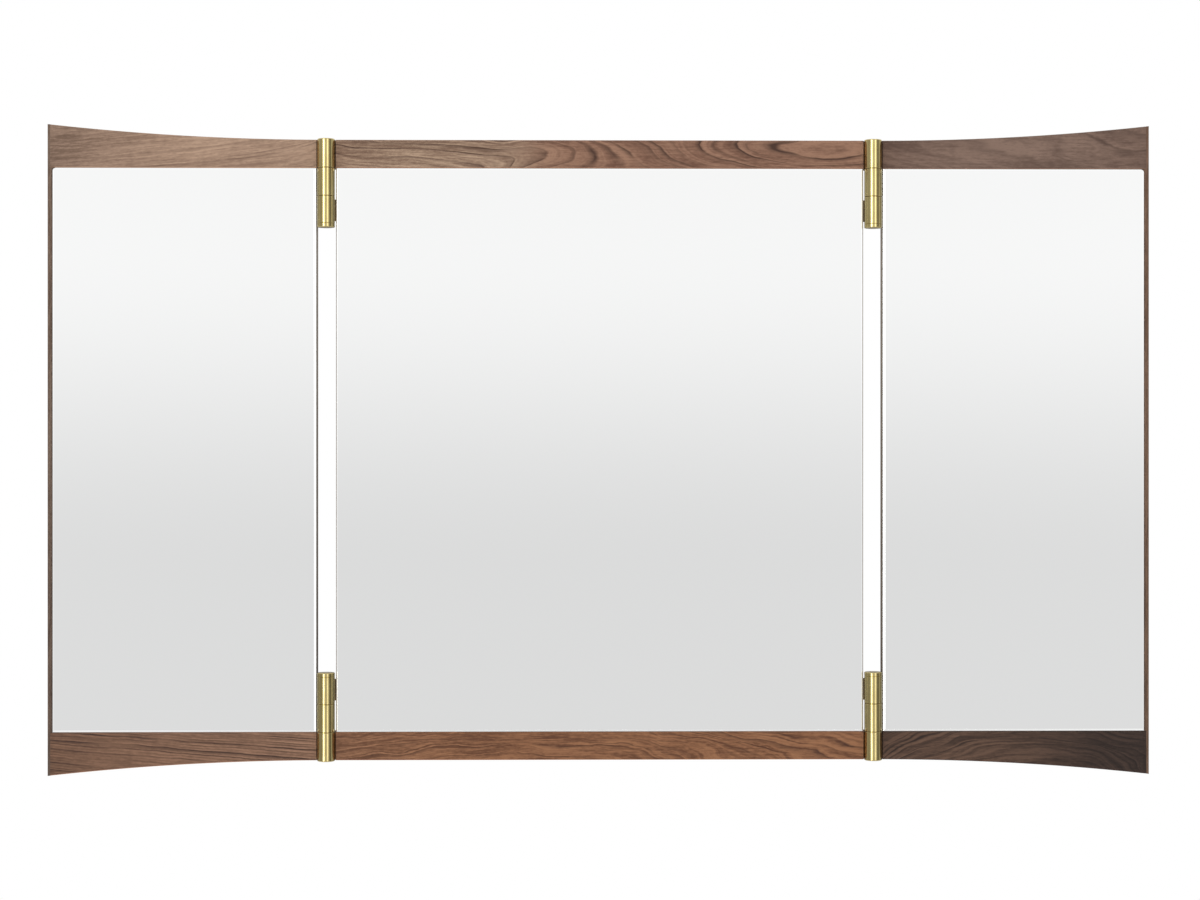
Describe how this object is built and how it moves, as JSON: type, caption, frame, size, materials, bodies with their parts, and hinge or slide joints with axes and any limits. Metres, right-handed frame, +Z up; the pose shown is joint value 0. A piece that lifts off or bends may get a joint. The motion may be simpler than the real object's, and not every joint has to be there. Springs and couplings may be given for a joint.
{
  "type": "wall mirror",
  "caption": "Three-panel folding wall mirror: a centre panel on a hooked wall rail, flared walnut-railed wings on brass barrel hinges.",
  "frame": {"origin": "On the wall, at the middle of the wall rail's line of screw holes", "axes": "+X to the viewer's right, +Z up, the mirror faces -Y and the wall lies on the +Y side"},
  "size_m": [1.2, 0.0365, 0.708],
  "materials": {
    "walnut": "oiled",
    "board_plywood": "sanded",
    "mirror_glass": "polished",
    "foam_tape": "matt",
    "satin_brass": "satin",
    "pin_steel": "ground",
    "bronze_washers": "matt",
    "black_rubber": "matt",
    "mill_aluminium": "mill",
    "zinc_screws": "zinc plated"
  },
  "bodies": {
    "centre_panel": {"centre_top_rail": "walnut", "centre_bottom_rail": "walnut", "centre_left_edge": "walnut", "centre_right_edge": "walnut", "centre_back_board": "board_plywood", "centre_mirror": "mirror_glass", "centre_mirror_tape": "foam_tape", "centre_wall_bumpers": "black_rubber", "centre_board_screws": "zinc_screws", "centre_hinge_screws": "zinc_screws", "hanging_rail": "mill_aluminium", "hanging_rail_screws": "zinc_screws", "wall_rail": "mill_aluminium", "left_top_hinge_fixed_leaf": "satin_brass", "left_top_hinge_pin": "pin_steel", "left_top_hinge_washers": "bronze_washers", "left_top_hinge_end_cap": "satin_brass", "left_bottom_hinge_fixed_leaf": "satin_brass", "left_bottom_hinge_pin": "pin_steel", "left_bottom_hinge_washers": "bronze_washers", "left_bottom_hinge_end_cap": "satin_brass", "right_top_hinge_fixed_leaf": "satin_brass", "right_top_hinge_pin": "pin_steel", "right_top_hinge_washers": "bronze_washers", "right_top_hinge_end_cap": "satin_brass", "right_bottom_hinge_fixed_leaf": "satin_brass", "right_bottom_hinge_pin": "pin_steel", "right_bottom_hinge_washers": "bronze_washers", "right_bottom_hinge_end_cap": "satin_brass"},
    "left_wing": {"left_wing_top_rail": "walnut", "left_wing_bottom_rail": "walnut", "left_wing_outer_stile": "walnut", "left_wing_inner_edge": "walnut", "left_wing_back_board": "board_plywood", "left_wing_mirror": "mirror_glass", "left_wing_mirror_tape": "foam_tape", "left_wing_wall_bumpers": "black_rubber", "left_wing_board_screws": "zinc_screws", "left_wing_hinge_screws": "zinc_screws", "left_top_hinge_wing_leaf": "satin_brass", "left_bottom_hinge_wing_leaf": "satin_brass"},
    "right_wing": {"right_wing_top_rail": "walnut", "right_wing_bottom_rail": "walnut", "right_wing_outer_stile": "walnut", "right_wing_inner_edge": "walnut", "right_wing_back_board": "board_plywood", "right_wing_mirror": "mirror_glass", "right_wing_mirror_tape": "foam_tape", "right_wing_wall_bumpers": "black_rubber", "right_wing_board_screws": "zinc_screws", "right_wing_hinge_screws": "zinc_screws", "right_top_hinge_wing_leaf": "satin_brass", "right_bottom_hinge_wing_leaf": "satin_brass"}
  },
  "joints": [
    {"name": "left_wing_swing", "type": "hinge", "parent": "centre_panel", "child": "left_wing", "pos_m": [-0.298, -0.027, -0.2], "axis": [0, 0, 1], "range_deg": [0, 120]},
    {"name": "right_wing_swing", "type": "hinge", "parent": "centre_panel", "child": "right_wing", "pos_m": [0.298, -0.027, -0.2], "axis": [0, 0, -1], "range_deg": [0, 120]}
  ]
}
